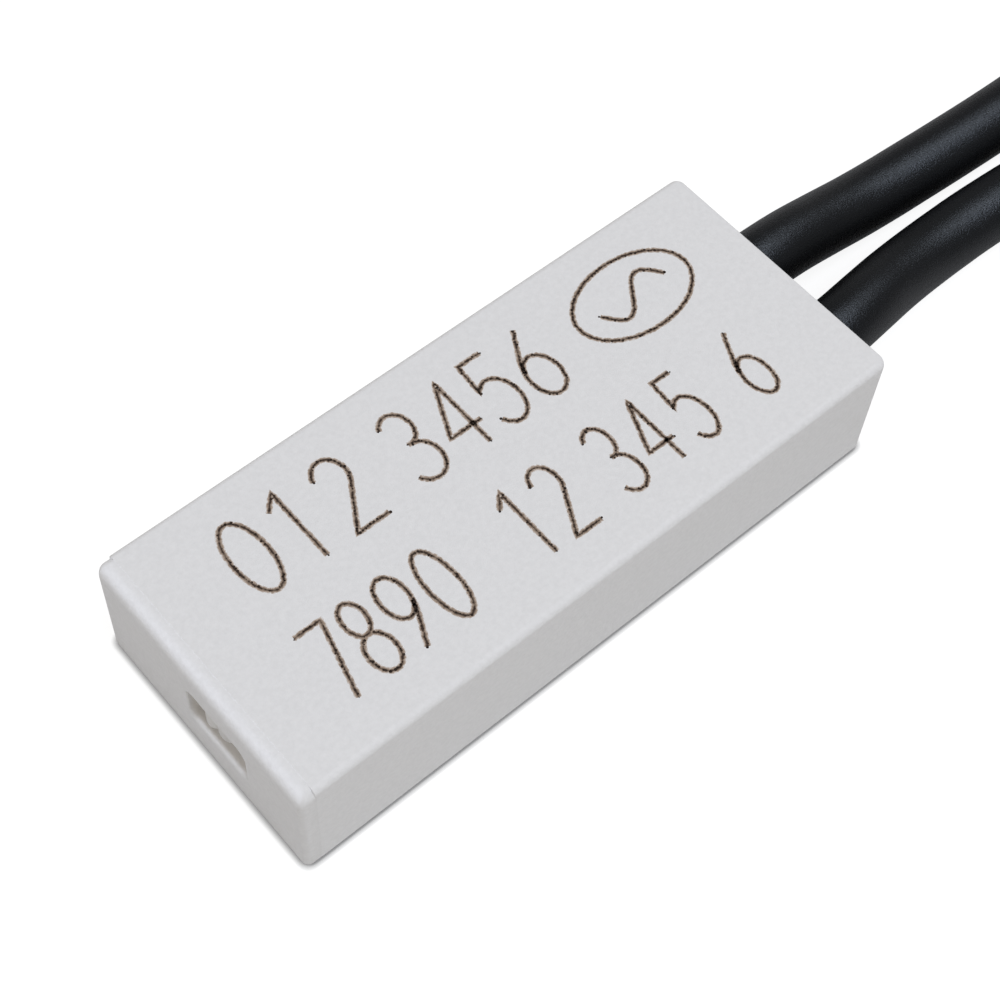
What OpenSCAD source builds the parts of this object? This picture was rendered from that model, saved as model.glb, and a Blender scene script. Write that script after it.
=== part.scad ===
// Encapsulated bimetal disc thermostat with two insulated leads.
// The case lies on its flat bottom face. X runs along the case toward the lead end,
// Y across it and Z up. The origin is the centre of the bottom face.
// A domed disc carries no current: it pushes a spring arm, and the arm opens one contact pair.

/* [Case] */
// Length of the case along X
case_l = 18.4; // [17.6:0.1:22]
// Width of the case along Y
case_w = 7.7; // [7.4:0.1:8.6]
// Height of the case
case_h = 3.8; // [3.7:0.05:4.4]
// Thickness of the four long walls
wall_t = 0.55; // [0.45:0.05:0.6]
// Thickness of the closed end wall
end_t = 0.7; // [0.5:0.05:0.9]
// Radius that rounds the upper rim of the closed end
rim_r = 0.36; // [0.2:0.02:0.45]
// Height by which the top face stands above that rim
rim_step = 0.04; // [0.02:0.01:0.08]
// Radius of the two upright corners at the closed end
corner_r = 0.35; // [0.2:0.05:0.5]

/* [End slot] */
// Width of the slot in the closed end
slot_w = 2.2; // [1.6:0.1:2.6]
// Height of the slot
slot_h = 1.4; // [1.2:0.05:1.5]
// Sideways place of the slot's middle
slot_y = -0.6; // [-0.8:0.1:0.5]
// Height of the slot's middle above the bottom face
slot_z = 1.92; // [1.8:0.02:2]
// Radius of the slot's corners
slot_r = 0.3; // [0.1:0.05:0.45]

/* [Inner carrier] */
// Running clearance between the carrier and the case
fit = 0.05; // [0.03:0.01:0.08]
// Thickness of the carrier's floor
floor_t = 0.6; // [0.5:0.05:0.65]
// Thickness of the carrier's side rails
rail_t = 0.6; // [0.5:0.05:0.65]
// Distance that the carrier's nose reaches into the slot
nose_l = 0.63; // [0.45:0.02:0.65]
// Radius of the nose's round front
nose_r = 0.3; // [0.24:0.02:0.36]

/* [Disc] */
// Radius of the bimetal disc
disc_r = 2.45; // [2.35:0.05:2.45]
// Thickness of the disc
disc_t = 0.15; // [0.1:0.01:0.18]
// Depth of the dome
disc_rise = 0.2; // [0.15:0.01:0.22]

/* [Contacts and arm] */
// Thickness of the two terminal plates
plate_t = 0.25; // [0.2:0.01:0.27]
// Thickness of the spring arm
arm_t = 0.16; // [0.12:0.01:0.2]
// Width of the arm
arm_w = 2.2; // [1.8:0.1:2.2]
// Radius of both contact faces
contact_r = 0.85; // [0.7:0.05:0.9]
// Gap left between the closed contact faces
contact_gap = 0.02; // [0.01:0.01:0.03]
// Distance from the arm's rivet to the contacts
arm_reach = 8.4; // [8.2:0.1:8.5]

/* [Leads] */
// Outside diameter of the lead's insulation
lead_od = 1.85; // [1.6:0.05:1.95]
// Diameter of the tinned conductor
core_d = 0.78; // [0.6:0.02:0.8]
// Length of bare conductor at the free end
bare_l = 5; // [3:0.5:8]
// Place of lead A across the case
lead_a_y = 1.35; // [1.2:0.05:1.35]
// Place of lead B across the case
lead_b_y = -1.6; // [-1.75:0.05:-1.6]
// Wall of the crimp barrel
crimp_t = 0.25; // [0.2:0.01:0.27]

/* [Hidden] */
eps = 0.01;
cut = 1;
// Cavity of the case
cav_w = case_w - 2 * wall_t;
cav_z0 = wall_t;
cav_z1 = case_h - wall_t;
cav_x0 = -case_l / 2 + end_t;
open_x = case_l / 2;
// Heights of the stack, from the cavity floor up
floor_z = cav_z0 + floor_t;
sheet_z = floor_z + plate_t;
sheet_t = 0.06;
ledge_z = sheet_z + 0.35;
seat_r = disc_r - 0.3;
arm_plate_z = sheet_z + 0.4;
arm_z = arm_plate_z + plate_t + 0.07;
arm_top = arm_z + arm_t;
contact_meet_z = sheet_z + 0.36;
// Places along X, from the closed end
contact_inset = 3.8;
disc_offset = 4.2;
pedestal_l = 1.45;
plug_t = 0.8;
crimp_gap = 0.3;
crimp_l = 1.7;
strip_gap = 0.35;
seal_inset = 0.2;
contact_x = -case_l / 2 + contact_inset;
disc_x = contact_x + disc_offset;
rivet_x = contact_x + arm_reach;
carrier_x1 = rivet_x + pedestal_l;
plug_x0 = carrier_x1 + fit;
plug_x1 = plug_x0 + plug_t;
crimp_x0 = plug_x1 + crimp_gap;
crimp_x1 = crimp_x0 + crimp_l;
strip_x = crimp_x1 + strip_gap;
seal_x = open_x - seal_inset;
// Arm root and its plate
root_y = 0.9;
root_w = 2.4;
tail_l = 0.7;
plate_back = 0.9;
plate_front = 1.1;
pad_l = 1.1;
pad_w = 2.2;
channel_w = 2.6;
seat_l = 5.8;
sheet_w = 2.1;
sheet_back = 3.05;
sheet_front = 1.9;
rivet_r = 0.35;
rivet_head_r = 0.62;
rivet_head_t = 0.18;
rivet_play = 0.05;
clamp_t = 0.14;
// Straps of the two terminals and their slots
strap_w = 1.5;
strap_play = 0.02;
// Leads
lead_z = case_h / 2;
core_r = core_d / 2;
crimp_bore = core_r + 0.01;
crimp_r = crimp_bore + crimp_t;
rest_z = lead_od / 2 + 0.01;
sides = 8;
// Routes of the leads from the potting face on: distance from it along X, place along Y
// and share of the exit height, where 0 is a lead that lies on the ground
lead_a_route = [
    [0, 1.35, 1], [1.2, 1.36, 0.95], [2.4, 1.42, 0.74], [3.8, 1.47, 0.38], [5.2, 1.46, 0.1],
    [6.6, 1.4, 0], [8.6, 1.29, 0], [10.7, 1.2, 0], [13.2, 1.16, 0], [15.6, 1.12, 0],
    [18, 0.98, 0], [21.2, 0.45, 0], [24.1, -0.8, 0], [26.7, -2.85, 0], [28.7, -5.45, 0],
    [29.9, -8.5, 0], [30.3, -11.75, 0], [29.9, -15, 0], [28.7, -18, 0], [26.7, -20.5, 0],
    [24.1, -22.5, 0], [21.2, -23.8, 0], [18, -24.8, 0], [15, -25.6, 0], [12.6, -26.1, 0],
    [10.4, -26.1, 0]
];
lead_b_route = [
    [0, -1.6, 1], [1.2, -1.56, 0.98], [2.4, -1.4, 0.8], [3.8, -1.16, 0.42], [5.2, -1, 0.12],
    [6.6, -0.95, 0], [8.6, -1.02, 0], [10.7, -1.18, 0], [13.2, -1.36, 0], [15.6, -1.5, 0],
    [18, -1.7, 0], [21.5, -2.35, 0], [24.6, -4.1, 0], [26.7, -6.75, 0], [27.9, -10.1, 0],
    [27.9, -13.6, 0], [26.8, -16.9, 0], [24.6, -19.5, 0], [21.5, -21.4, 0], [18, -22.1, 0],
    [15, -22.35, 0], [12, -22.5, 0], [9, -22.7, 0], [6, -22.8, 0], [3.1, -22.8, 0]
];
$fn = 64;

// A box given by its two opposite corners.
module block(a, b) {
    translate(a) cube(b - a);
}

// What a rounding of radius r takes off an edge along Y whose corner is at the origin;
// the material lies toward +X and -Z.
module edge_rounding(r, length) {
    difference() {
        block([-cut, -length / 2, -r], [r, length / 2, cut]);
        translate([r, 0, -r]) rotate([90, 0, 0]) cylinder(r = r, h = length + cut, center = true);
    }
}

// What a rounding of radius r takes off an upright corner at the origin;
// the material lies toward +X and toward -side along Y.
module corner_rounding(r, height, side) {
    difference() {
        translate([-cut, side > 0 ? -r : -cut, -cut]) cube([r + cut, r + cut, height + 2 * cut]);
        translate([r, -side * r, -2 * cut]) cylinder(r = r, h = height + 4 * cut);
    }
}

// Slot with rounded corners through a wall, along X, centred on the origin.
module slot_cutter(w, h, r, depth) {
    rotate([90, 0, 90]) linear_extrude(depth, center = true) union() {
        square([w - 2 * r, h], center = true);
        square([w, h - 2 * r], center = true);
        for (sy = [-1, 1])
            for (sz = [-1, 1])
                translate([sy * (w / 2 - r), sz * (h / 2 - r)]) circle(r = r);
    }
}

// Moulded case, closed at -X with a slot, open at +X.
module case_shell() {
    x0 = -case_l / 2;
    color([0.84, 0.84, 0.85]) difference() {
        block([x0, -case_w / 2, 0], [case_l / 2, case_w / 2, case_h]);
        block([x0 - cut, -case_w, case_h - rim_step], [x0 + rim_r, case_w, case_h + cut]);
        translate([x0, 0, case_h - rim_step]) edge_rounding(rim_r, case_w + 2 * cut);
        for (s = [-1, 1])
            translate([x0, s * case_w / 2, 0]) corner_rounding(corner_r, case_h, s);
        block([cav_x0, -cav_w / 2, cav_z0], [open_x + cut, cav_w / 2, cav_z1]);
        translate([x0, slot_y, slot_z]) slot_cutter(slot_w, slot_h, slot_r, 4 * end_t);
    }
}

// Moulded carrier: floor, two rails, end wall with the nose, disc seat and arm pedestal.
module carrier() {
    x0 = cav_x0 + fit;
    w = cav_w - 2 * fit;
    inner_w = w - 2 * rail_t;
    wall_top = cav_z1 - fit;
    seat_top = ledge_z + disc_t + 0.05;
    pedestal_y0 = root_y - root_w / 2 - 0.1;
    nose_y = slot_y + 0.5;
    nose_z = slot_z - slot_h / 2 + 0.2;
    nose_h = slot_h - 0.26;
    color([0.78, 0.76, 0.72]) difference() {
        union() {
            block([x0, -w / 2, cav_z0], [carrier_x1, w / 2, floor_z]);
            for (s = [-1, 1])
                translate([x0, s > 0 ? inner_w / 2 : -w / 2, cav_z0])
                    cube([carrier_x1 - x0, rail_t, wall_top - cav_z0]);
            block([x0, -w / 2, cav_z0], [x0 + 0.5, w / 2, wall_top]);
            translate([x0 + nose_r - nose_l, nose_y, nose_z]) cylinder(r = nose_r, h = nose_h);
            block(
                [x0 + nose_r - nose_l, nose_y - nose_r, nose_z],
                [x0 + 0.2, nose_y + nose_r, nose_z + nose_h]
            );
            block([disc_x - seat_l / 2, -w / 2, cav_z0], [disc_x + seat_l / 2, w / 2, seat_top]);
            block([rivet_x - plate_back, pedestal_y0, cav_z0], [carrier_x1, w / 2, arm_plate_z]);
        }
        // Channel of the fixed terminal under the disc
        block(
            [disc_x - seat_l, -channel_w / 2, floor_z],
            [disc_x + seat_l / 2 + eps, channel_w / 2, cav_z1]
        );
        // Disc seat: a ledge for the rim and a well under the dome
        translate([disc_x, 0, ledge_z]) cylinder(r = disc_r + 0.05, h = case_h);
        translate([disc_x, 0, floor_z]) cylinder(r = seat_r, h = case_h);
        // Room for the rivet's lower head
        translate([rivet_x, root_y, sheet_z]) cylinder(r = rivet_head_r + 0.13, h = case_h);
        // Room for the strap of the fixed terminal beside the pedestal
        block(
            [disc_x + seat_l / 2, -inner_w / 2, floor_z],
            [carrier_x1 + cut, pedestal_y0, cav_z1]
        );
    }
}

// Flat outline of the fixed terminal, from the contact to the crimp.
module fixed_outline() {
    y0 = lead_b_y - strap_w / 2;
    y1 = lead_b_y + strap_w / 2;
    polygon([
        [contact_x - pad_l, -pad_w / 2], [disc_x + seat_l / 2 + 0.05, -pad_w / 2],
        [disc_x + seat_l / 2 + 1, y0], [crimp_x1, y0], [crimp_x1, y1],
        [disc_x + seat_l / 2 + 1.1, y1], [disc_x + seat_l / 2, -pad_w / 4],
        [disc_x + disc_r, pad_w / 2], [contact_x - pad_l, pad_w / 2]
    ]);
}

// Closed crimp barrel around a conductor.
module crimp_barrel(y) {
    translate([crimp_x0, y, lead_z]) rotate([0, 90, 0]) difference() {
        cylinder(r = crimp_r, h = crimp_x1 - crimp_x0);
        translate([0, 0, -cut]) cylinder(r = crimp_bore, h = crimp_x1 - crimp_x0 + 2 * cut);
    }
}

// Stamped plate that carries the fixed contact, with its strap and crimp.
module fixed_terminal_shape() {
    difference() {
        union() {
            translate([0, 0, floor_z]) linear_extrude(plate_t) fixed_outline();
            // Riser from the strap to the barrel
            block([crimp_x0, lead_b_y - 0.3, floor_z], [crimp_x1, lead_b_y + 0.3, lead_z]);
            crimp_barrel(lead_b_y);
        }
        translate([crimp_x0 - cut, lead_b_y, lead_z]) rotate([0, 90, 0])
            cylinder(r = crimp_bore, h = crimp_x1 - crimp_x0 + 2 * cut);
    }
}

module fixed_terminal() {
    color([0.78, 0.62, 0.3]) fixed_terminal_shape();
}

// Stamped plate under the arm's root, with its strap and crimp.
module arm_terminal_shape() {
    y0 = lead_a_y - strap_w / 2;
    y1 = lead_a_y + strap_w / 2;
    difference() {
        union() {
            block(
                [rivet_x - plate_back, root_y - root_w / 2, arm_plate_z],
                [rivet_x + plate_front, root_y + root_w / 2, arm_plate_z + plate_t]
            );
            block([rivet_x, y0, arm_plate_z], [crimp_x0 + 0.1, y1, arm_plate_z + plate_t]);
            crimp_barrel(lead_a_y);
        }
        translate([rivet_x, root_y, 0]) cylinder(r = rivet_r + rivet_play, h = case_h);
    }
}

module arm_terminal() {
    color([0.78, 0.62, 0.3]) arm_terminal_shape();
}

// Silver contact welded to the fixed terminal.
module fixed_contact() {
    color([0.85, 0.85, 0.83]) translate([contact_x, 0, sheet_z])
        cylinder(r = contact_r, h = contact_meet_z - sheet_z);
}

// Silver contact riveted through the arm's free end.
module moving_contact() {
    face_z = contact_meet_z + contact_gap;
    color([0.85, 0.85, 0.83]) translate([contact_x, 0, 0]) union() {
        translate([0, 0, face_z]) cylinder(r = contact_r, h = arm_z - face_z);
        translate([0, 0, face_z]) cylinder(r = 0.4, h = arm_top + 0.12 - face_z);
        translate([0, 0, arm_top]) cylinder(r = 0.55, h = 0.12);
    }
}

// Spring arm from the rivet to the moving contact, with a dimple over the disc.
module contact_arm() {
    root_y0 = root_y - root_w / 2;
    dimple_r = 0.6;
    dimple_h = 0.14;
    ball_r = (dimple_r * dimple_r + dimple_h * dimple_h) / (2 * dimple_h);
    color([0.8, 0.55, 0.35]) difference() {
        union() {
            translate([0, 0, arm_z]) linear_extrude(arm_t) union() {
                polygon([
                    [contact_x, -arm_w / 2], [rivet_x - 1.9, -arm_w / 2], [rivet_x - 0.8, root_y0],
                    [rivet_x + tail_l, root_y0], [rivet_x + tail_l, root_y0 + root_w],
                    [rivet_x - 0.8, root_y0 + root_w], [rivet_x - 1.9, arm_w / 2],
                    [contact_x, arm_w / 2]
                ]);
                translate([contact_x, 0]) circle(r = arm_w / 2);
            }
            intersection() {
                translate([disc_x, 0, arm_z - dimple_h + ball_r]) sphere(r = ball_r);
                translate([disc_x, 0, arm_z - dimple_h]) cylinder(r = dimple_r, h = dimple_h + arm_t / 2);
            }
        }
        translate([contact_x, 0, arm_z - cut]) cylinder(r = 0.4, h = arm_t + 2 * cut);
        translate([rivet_x, root_y, arm_z - cut]) cylinder(r = rivet_r, h = arm_t + 2 * cut);
    }
}

// Small stiff plate that the rivet presses on the arm's root.
module arm_clamp_plate() {
    color([0.72, 0.72, 0.7]) difference() {
        block(
            [rivet_x - 0.7, root_y - root_w / 2 + 0.2, arm_top],
            [rivet_x + tail_l, root_y + root_w / 2 - 0.2, arm_top + clamp_t]
        );
        translate([rivet_x, root_y, 0]) cylinder(r = rivet_r, h = case_h);
    }
}

// Rivet through the clamp plate, the arm and the arm terminal.
module arm_rivet() {
    z1 = arm_top + clamp_t;
    low_z = arm_plate_z - 0.06;
    color([0.8, 0.66, 0.36]) translate([rivet_x, root_y, 0]) union() {
        translate([0, 0, low_z - rivet_head_t]) cylinder(r = rivet_head_r, h = rivet_head_t);
        translate([0, 0, low_z - eps]) cylinder(r = rivet_r, h = z1 - low_z + 2 * eps);
        translate([0, 0, z1]) cylinder(r = rivet_head_r, h = rivet_head_t);
    }
}

// Snap disc, dished downward while cold. Its underside rests on the inner edge of the ledge.
module bimetal_disc() {
    ball_r = (disc_r * disc_r + disc_rise * disc_rise) / (2 * disc_rise);
    under_r = ball_r + disc_t;
    ball_z = ledge_z + sqrt(under_r * under_r - seat_r * seat_r);
    color([0.62, 0.6, 0.58]) intersection() {
        translate([disc_x, 0, 0]) cylinder(r = disc_r, h = case_h);
        difference() {
            translate([disc_x, 0, ball_z]) sphere(r = under_r);
            translate([disc_x, 0, ball_z]) sphere(r = ball_r);
        }
        block([-case_l, -case_w, 0], [case_l, case_w, case_h]);
    }
}

// Insulating sheet between the fixed terminal and the disc.
module insulating_sheet() {
    color([0.9, 0.85, 0.6])
        block(
            [disc_x - sheet_back, -sheet_w / 2, sheet_z],
            [disc_x + sheet_front, sheet_w / 2, sheet_z + sheet_t]
        );
}

// Plug that keeps the potting out of the contact space; both straps pass through it.
module inner_plug() {
    color([0.55, 0.55, 0.56]) difference() {
        block([plug_x0, -cav_w / 2 + fit, cav_z0], [plug_x1, cav_w / 2 - fit, cav_z1 - fit]);
        translate([plug_x0 - cut, lead_b_y - strap_w / 2 - strap_play, floor_z - strap_play])
            cube([plug_t + 2 * cut, strap_w + 2 * strap_play, plate_t + 2 * strap_play]);
        translate([plug_x0 - cut, lead_a_y - strap_w / 2 - strap_play, arm_plate_z - strap_play])
            cube([plug_t + 2 * cut, strap_w + 2 * strap_play, plate_t + 2 * strap_play]);
    }
}

// Potting resin that fills the lead end round the crimps and the leads.
module potting() {
    color([0.3, 0.29, 0.28]) difference() {
        block([plug_x1, -cav_w / 2, cav_z0], [seal_x, cav_w / 2, cav_z1]);
        fixed_terminal_shape();
        arm_terminal_shape();
        for (y = [lead_a_y, lead_b_y]) {
            translate([crimp_x0 - 0.01, y, lead_z]) rotate([0, 90, 0])
                cylinder(r = crimp_bore, h = case_l);
            translate([strip_x, y, lead_z]) rotate([0, 90, 0])
                cylinder(r = lead_od / 2 + 0.01, h = case_l);
        }
    }
}

// Conductor from the crimp to the end of the insulation.
module core(y) {
    color([0.8, 0.78, 0.74]) translate([crimp_x0 + 0.12, y, lead_z]) rotate([0, 90, 0])
        cylinder(r = core_r, h = strip_x - crimp_x0 - 0.12);
}

// Turns a route entry into a point of the part's frame.
function route_point(p) = [seal_x + p[0], p[1], rest_z + p[2] * (lead_z - rest_z)];

function unit(v) = v / norm(v);

// Direction of the route at point i, as the mean of its two sides.
function heading(pts, i) =
    unit(pts[min(i + 1, len(pts) - 1)] - pts[max(i - 1, 0)]);

// One ring of the swept tube.
function ring(pts, i, r) =
    let (t = heading(pts, i), s = unit(cross([0, 0, 1], t)), u = cross(t, s))
    [for (k = [0:sides - 1])
        let (a = 360 * (k + 0.5) / sides)
        pts[i] + r * (cos(a) * s + sin(a) * u)];

// Plain tube along a list of points.
module swept_tube(pts, r) {
    n = len(pts);
    points = [for (i = [0:n - 1]) each ring(pts, i, r)];
    side_faces = [for (i = [0:n - 2]) for (k = [0:sides - 1])
        let (k2 = (k + 1) % sides)
        [i * sides + k, i * sides + k2, (i + 1) * sides + k2, (i + 1) * sides + k]];
    start_face = [for (k = [sides - 1:-1:0]) k];
    end_face = [for (k = [0:sides - 1]) (n - 1) * sides + k];
    polyhedron(points, concat([start_face], side_faces, [end_face]), convexity = 6);
}

// Route of a lead: from the stripped point in the potting through its listed points.
function lead_points(route) =
    concat([[strip_x, route[0][1], lead_z]], [for (p = route) route_point(p)]);

module lead(route) {
    color([0.12, 0.12, 0.13]) swept_tube(lead_points(route), lead_od / 2);
}

// Tinned conductor beyond the insulation; both leads end running toward -X.
module bare_end(route) {
    last = route_point(route[len(route) - 1]);
    color([0.8, 0.8, 0.78]) translate(last) rotate([0, -90, 0]) cylinder(r = core_r, h = bare_l);
}

case_shell();  // case
carrier();
inner_plug();
potting();
fixed_terminal();
arm_terminal();
fixed_contact();
moving_contact();
contact_arm();
arm_clamp_plate();
arm_rivet();
bimetal_disc();
insulating_sheet();
core(lead_a_y);  // lead_a_core
core(lead_b_y);  // lead_b_core
lead(lead_a_route);  // lead_a
lead(lead_b_route);  // lead_b
bare_end(lead_a_route);  // lead_a_bare_end
bare_end(lead_b_route);  // lead_b_bare_end
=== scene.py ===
import math

import bmesh
import bpy
import numpy as np
from mathutils import Matrix, Vector


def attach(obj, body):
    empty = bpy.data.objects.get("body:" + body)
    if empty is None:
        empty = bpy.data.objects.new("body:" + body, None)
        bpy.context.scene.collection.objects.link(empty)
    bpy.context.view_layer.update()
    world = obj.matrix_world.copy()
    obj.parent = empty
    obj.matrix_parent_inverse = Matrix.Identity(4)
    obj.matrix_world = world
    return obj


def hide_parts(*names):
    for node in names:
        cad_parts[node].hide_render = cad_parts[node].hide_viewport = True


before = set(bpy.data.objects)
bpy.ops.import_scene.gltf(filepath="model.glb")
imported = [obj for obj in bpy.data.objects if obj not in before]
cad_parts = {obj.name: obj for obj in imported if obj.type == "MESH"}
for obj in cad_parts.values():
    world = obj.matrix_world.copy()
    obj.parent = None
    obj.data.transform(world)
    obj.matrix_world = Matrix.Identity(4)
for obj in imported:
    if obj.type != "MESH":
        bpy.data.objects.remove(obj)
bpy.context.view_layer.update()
MM = 0.001

# The place where the part lies for its picture: the camera looks down on the top face from
# in front of the closed end. The aim, the distance and the turn come from the case's corners.
azimuth, elevation, roll = (math.radians(angle) for angle in (-44.40, 58.60, 4.33))
camera_distance = 48.75 * MM
camera_aim = Vector((-0.121, 0.013, 2.0)) * MM
toward_camera = Vector((
    math.sin(azimuth) * math.cos(elevation),
    -math.cos(azimuth) * math.cos(elevation),
    math.sin(elevation),
))
level_right = (-toward_camera).cross(Vector((0, 0, 1))).normalized()
level_up = level_right.cross(-toward_camera)
camera_right = level_right * math.cos(roll) + level_up * math.sin(roll)
camera_up = level_up * math.cos(roll) - level_right * math.sin(roll)
camera_data = bpy.data.cameras.new("camera")
camera_data.sensor_width = 36
camera_data.lens = 71.39
camera_data.clip_start, camera_data.clip_end = 0.001, 10
camera = bpy.data.objects.new("camera", camera_data)
bpy.context.scene.collection.objects.link(camera)
camera.matrix_world = (
    Matrix.Translation(camera_aim + toward_camera * camera_distance)
    @ Matrix((camera_right, camera_up, toward_camera)).transposed().to_4x4()
)
bpy.context.scene.camera = camera
bpy.context.scene.view_settings.view_transform = "Standard"


def math_node(nodes, operation):
    """A node that does one sum."""
    node = nodes.new("ShaderNodeMath")
    node.operation = operation
    return node


def colour_mix(nodes, first, second):
    """A node that mixes two colours."""
    node = nodes.new("ShaderNodeMix")
    node.data_type = "RGBA"
    node.inputs["A"].default_value = (*first, 1)
    node.inputs["B"].default_value = (*second, 1)
    return node


# The table under the part: a plain white sheet. For the camera it is evenly white, with a painted
# shadow close round what stands on it and a thin painted dark line under the long front edge. The
# part itself is lit by it as by plain paper.
floor_mesh = bpy.data.meshes.new("table_sheet")
floor_mesh.from_pydata([(-2, -2, 0), (2, -2, 0), (2, 2, 0), (-2, 2, 0)], [], [(0, 1, 2, 3)])
table_sheet = bpy.data.objects.new("table_sheet", floor_mesh)
bpy.context.scene.collection.objects.link(table_sheet)
sheet_white = bpy.data.materials.new("sheet_white")
sheet_white.use_nodes = True
floor_mesh.materials.append(sheet_white)
nodes, links = sheet_white.node_tree.nodes, sheet_white.node_tree.links
nodes.clear()
paper = nodes.new("ShaderNodeBsdfDiffuse")
paper_for_camera = nodes.new("ShaderNodeBsdfDiffuse")
paper_for_camera.inputs["Color"].default_value = (0.25, 0.25, 0.25, 1)
# Painted shadow: for the camera the sheet's glow is dimmed where things close by hide the sky above it.
shadow_reach, shadow_falloff = 0.18 * MM, 1.9
open_above = nodes.new("ShaderNodeAmbientOcclusion")
open_above.samples = 32
open_above.inputs["Distance"].default_value = shadow_reach
contact_shadow = math_node(nodes, "POWER")
contact_shadow.inputs[1].default_value = shadow_falloff
links.new(open_above.outputs["AO"], contact_shadow.inputs[0])
foot_line = nodes.new("ShaderNodeMapRange")
foot_line.interpolation_type = "SMOOTHSTEP"
foot_line.inputs["From Min"].default_value = 0.48
foot_line.inputs["From Max"].default_value = 0.68
sheet_place = nodes.new("ShaderNodeTexCoord")
sheet_at = nodes.new("ShaderNodeSeparateXYZ")
links.new(sheet_place.outputs["Object"], sheet_at.inputs[0])
# The painted dark line: in a narrow strip in front of the long front side the glow is dimmed further, set
# by place on the sheet.
front_line_full, front_line_none, front_line_level = -3.86 * MM, -3.8 * MM, 0.14
along_front = nodes.new("ShaderNodeMapRange")
along_front.inputs["From Min"].default_value = front_line_full
along_front.inputs["From Max"].default_value = front_line_none
along_front.inputs["To Min"].default_value = front_line_level
links.new(sheet_at.outputs["Y"], along_front.inputs["Value"])
links.new(along_front.outputs["Result"], foot_line.inputs["To Min"])
links.new(open_above.outputs["AO"], foot_line.inputs["Value"])
whole_shadow = math_node(nodes, "MULTIPLY")
links.new(contact_shadow.outputs[0], whole_shadow.inputs[0])
links.new(foot_line.outputs["Result"], whole_shadow.inputs[1])
glow = nodes.new("ShaderNodeEmission")
links.new(whole_shadow.outputs[0], glow.inputs["Strength"])
glow.inputs["Color"].default_value = (0.87, 0.87, 0.87, 1)
white_for_camera = nodes.new("ShaderNodeAddShader")
links.new(paper_for_camera.outputs[0], white_for_camera.inputs[0])
links.new(glow.outputs[0], white_for_camera.inputs[1])
rays = nodes.new("ShaderNodeLightPath")
paper_colour = colour_mix(nodes, (0.72, 0.71, 0.69), (0.36, 0.36, 0.36))
links.new(rays.outputs["Is Glossy Ray"], paper_colour.inputs["Factor"])
links.new(paper_colour.outputs["Result"], paper.inputs["Color"])
sheet = nodes.new("ShaderNodeMixShader")
links.new(rays.outputs["Is Camera Ray"], sheet.inputs["Fac"])
links.new(paper.outputs[0], sheet.inputs[1])
links.new(white_for_camera.outputs[0], sheet.inputs[2])
links.new(sheet.outputs[0], nodes.new("ShaderNodeOutputMaterial").inputs["Surface"])

# The light: one wide soft box overhead and a level pale surround. Two bluish boxes only show as
# soft gleams, one along the rounded rim of the closed end and one along the leads.
for name, place, size, power, tint, lights_matt in (
    ("soft_box_top", (0.045, -0.125, 0.34), 0.15, 0.563, (0.833, 0.892, 1), True),
    ("soft_box_rim", (-0.26, 0.106, 0.103), 0.16, 2.9, (0.8, 0.85, 1), False),
    ("soft_box_leads", (0.2, 0.01, 0.285), 0.12, 0.17, (0.9, 0.95, 1), False),
):
    lamp_data = bpy.data.lights.new(name, "AREA")
    lamp_data.size = size
    lamp_data.energy = power
    lamp_data.color = tint
    lamp = bpy.data.objects.new(name, lamp_data)
    lamp.location = place
    lamp.rotation_euler = Vector(place).to_track_quat("Z", "Y").to_euler()
    lamp.visible_diffuse = lights_matt
    bpy.context.scene.collection.objects.link(lamp)
surround = bpy.data.worlds.new("surround")
surround.use_nodes = True
bpy.context.scene.world = surround
nodes, links = surround.node_tree.nodes, surround.node_tree.links
nodes.clear()
rays = nodes.new("ShaderNodeLightPath")
surround_level, less_for_gleams = 0.54, -0.41
level = math_node(nodes, "MULTIPLY_ADD")
level.inputs[1].default_value = less_for_gleams
level.inputs[2].default_value = surround_level
links.new(rays.outputs["Is Glossy Ray"], level.inputs[0])
white_behind = math_node(nodes, "MAXIMUM")
links.new(level.outputs[0], white_behind.inputs[0])
links.new(rays.outputs["Is Camera Ray"], white_behind.inputs[1])
white_through = math_node(nodes, "MAXIMUM")
links.new(white_behind.outputs[0], white_through.inputs[0])
links.new(rays.outputs["Is Transmission Ray"], white_through.inputs[1])
pale_surround = nodes.new("ShaderNodeBackground")
surround_colour = colour_mix(nodes, (1, 1, 1), (1, 0.957, 0.905))
links.new(rays.outputs["Is Diffuse Ray"], surround_colour.inputs["Factor"])
links.new(surround_colour.outputs["Result"], pale_surround.inputs["Color"])
links.new(white_through.outputs[0], pale_surround.inputs["Strength"])
links.new(pale_surround.outputs[0], nodes.new("ShaderNodeOutputWorld").inputs["Surface"])

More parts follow.
